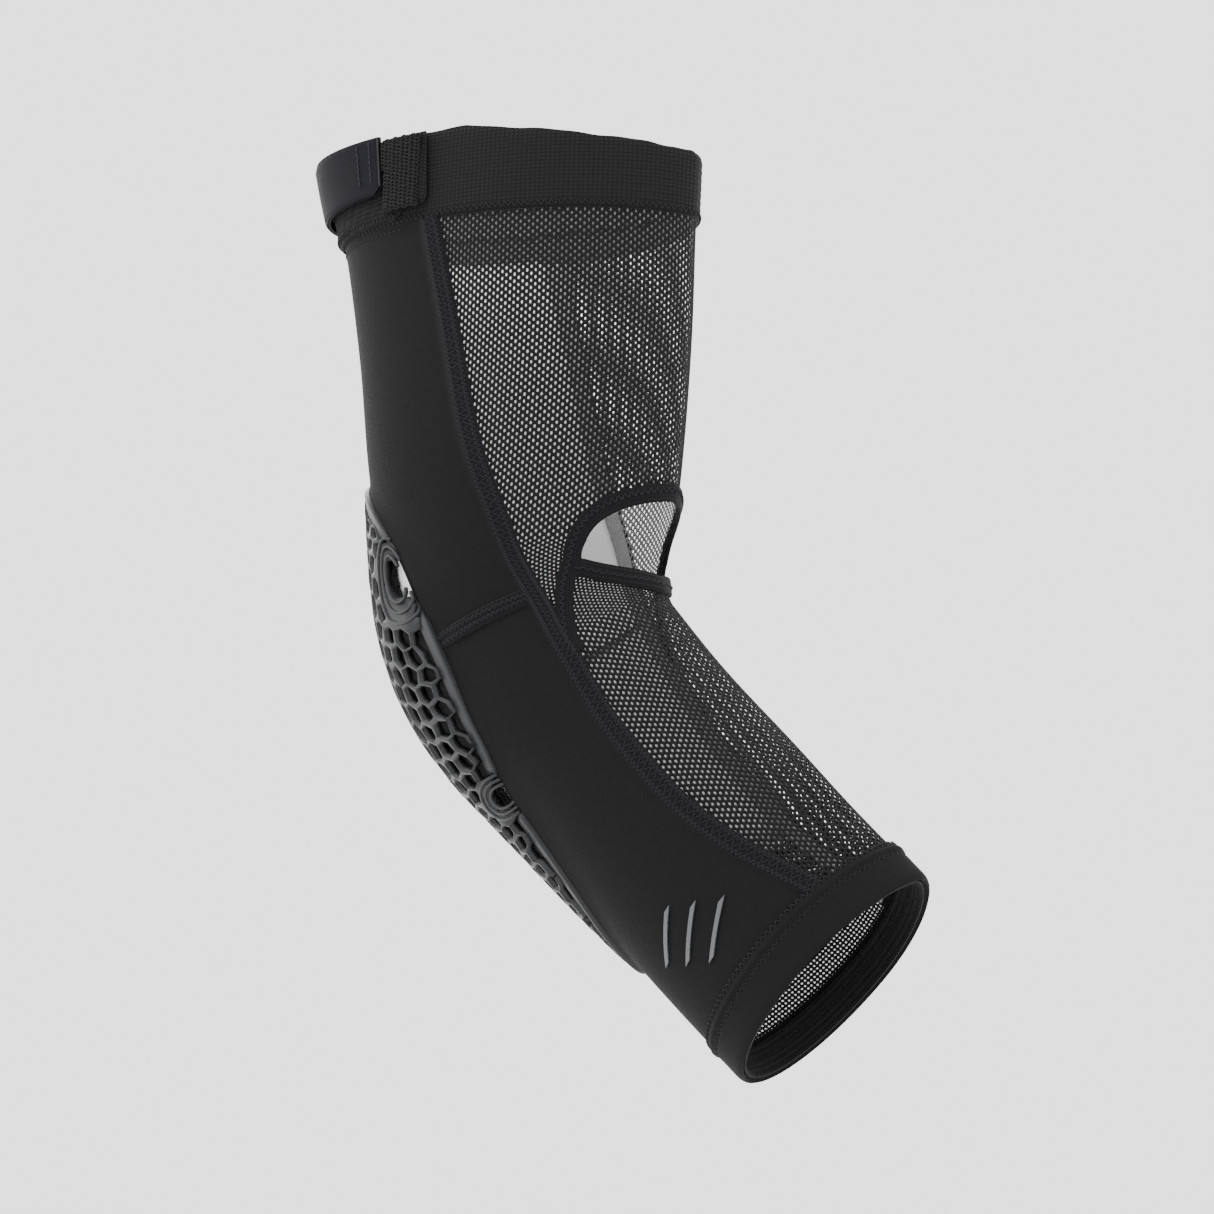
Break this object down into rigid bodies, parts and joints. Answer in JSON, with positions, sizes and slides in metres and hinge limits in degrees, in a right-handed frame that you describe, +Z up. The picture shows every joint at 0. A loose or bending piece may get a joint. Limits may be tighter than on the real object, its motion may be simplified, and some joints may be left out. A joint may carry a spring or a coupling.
{
  "type": "elbow guard sleeve",
  "caption": "Pull-on elbow guard: pre-bent knitted sleeve with mesh front, vent in the crook, padded lattice guard over the elbow point, elastic strap at the top and folded cuff at the forearm.",
  "frame": {"origin": "centre of the elbow, where the arm bends", "axes": "+Z up the upper arm, +X to the front of the arm, -X to the back with the guard, -Y to the side with the strap"},
  "size_m": [0.2308, 0.0905, 0.3209],
  "materials": {
    "knit": "matte knitted",
    "open_mesh": "open warp-knit mesh",
    "woven_elastic": "woven elastic",
    "seam_thread": "overlocked thread",
    "silicone": "satin silicone",
    "strap_fabric": "smooth brushed laminate",
    "hook": "fine moulded hooks",
    "loop": "brushed loop pile",
    "foam": "closed-cell foam",
    "guard_plastic": "satin moulded elastomer",
    "reflective": "silver reflective film"
  },
  "bodies": {
    "upper_sleeve": {"upper_elastic_band": "woven_elastic", "upper_silicone_line": "silicone", "lower_silicone_line": "silicone", "loop_patch": "loop", "strap_webbing": "woven_elastic", "upper_back_panel": "knit", "upper_mesh_panel": "open_mesh", "vent_binding": "seam_thread", "side_seam_lateral": "seam_thread", "side_seam_medial": "seam_thread", "elbow_seam_lateral": "seam_thread", "elbow_seam_medial": "seam_thread", "pad_lining": "open_mesh", "impact_foam": "foam", "guard_lattice": "guard_plastic", "guard_rim": "guard_plastic"},
    "forearm_sleeve": {"lower_back_panel": "knit", "lower_mesh_panel": "open_mesh", "vent_lip_binding": "seam_thread", "forearm_cuff": "knit", "cuff_grip_band": "woven_elastic", "reflective_bar_1": "reflective", "reflective_bar_2": "reflective", "reflective_bar_3": "reflective"},
    "strap": {"strap_tab": "strap_fabric", "strap_hook_patch": "hook"}
  },
  "joints": [
    {"name": "elbow_flex", "type": "hinge", "parent": "upper_sleeve", "child": "forearm_sleeve", "pos_m": [0, 0, 0], "axis": [0, -1, 0], "range_deg": [-42, 65], "stiffness_Nm_per_rad": 3, "deforming": ["upper_back_panel", "upper_mesh_panel", "vent_binding", "side_seam_lateral", "side_seam_medial", "elbow_seam_lateral", "elbow_seam_medial", "pad_lining", "impact_foam", "guard_lattice", "guard_rim", "lower_back_panel", "lower_mesh_panel", "vent_lip_binding"]},
    {"name": "strap_peel", "type": "hinge", "parent": "upper_sleeve", "child": "strap", "pos_m": [-0.0331, -0.0419, 0.1622], "axis": [-0.103, 0.0582, 0.993], "range_deg": [0, 120]}
  ]
}
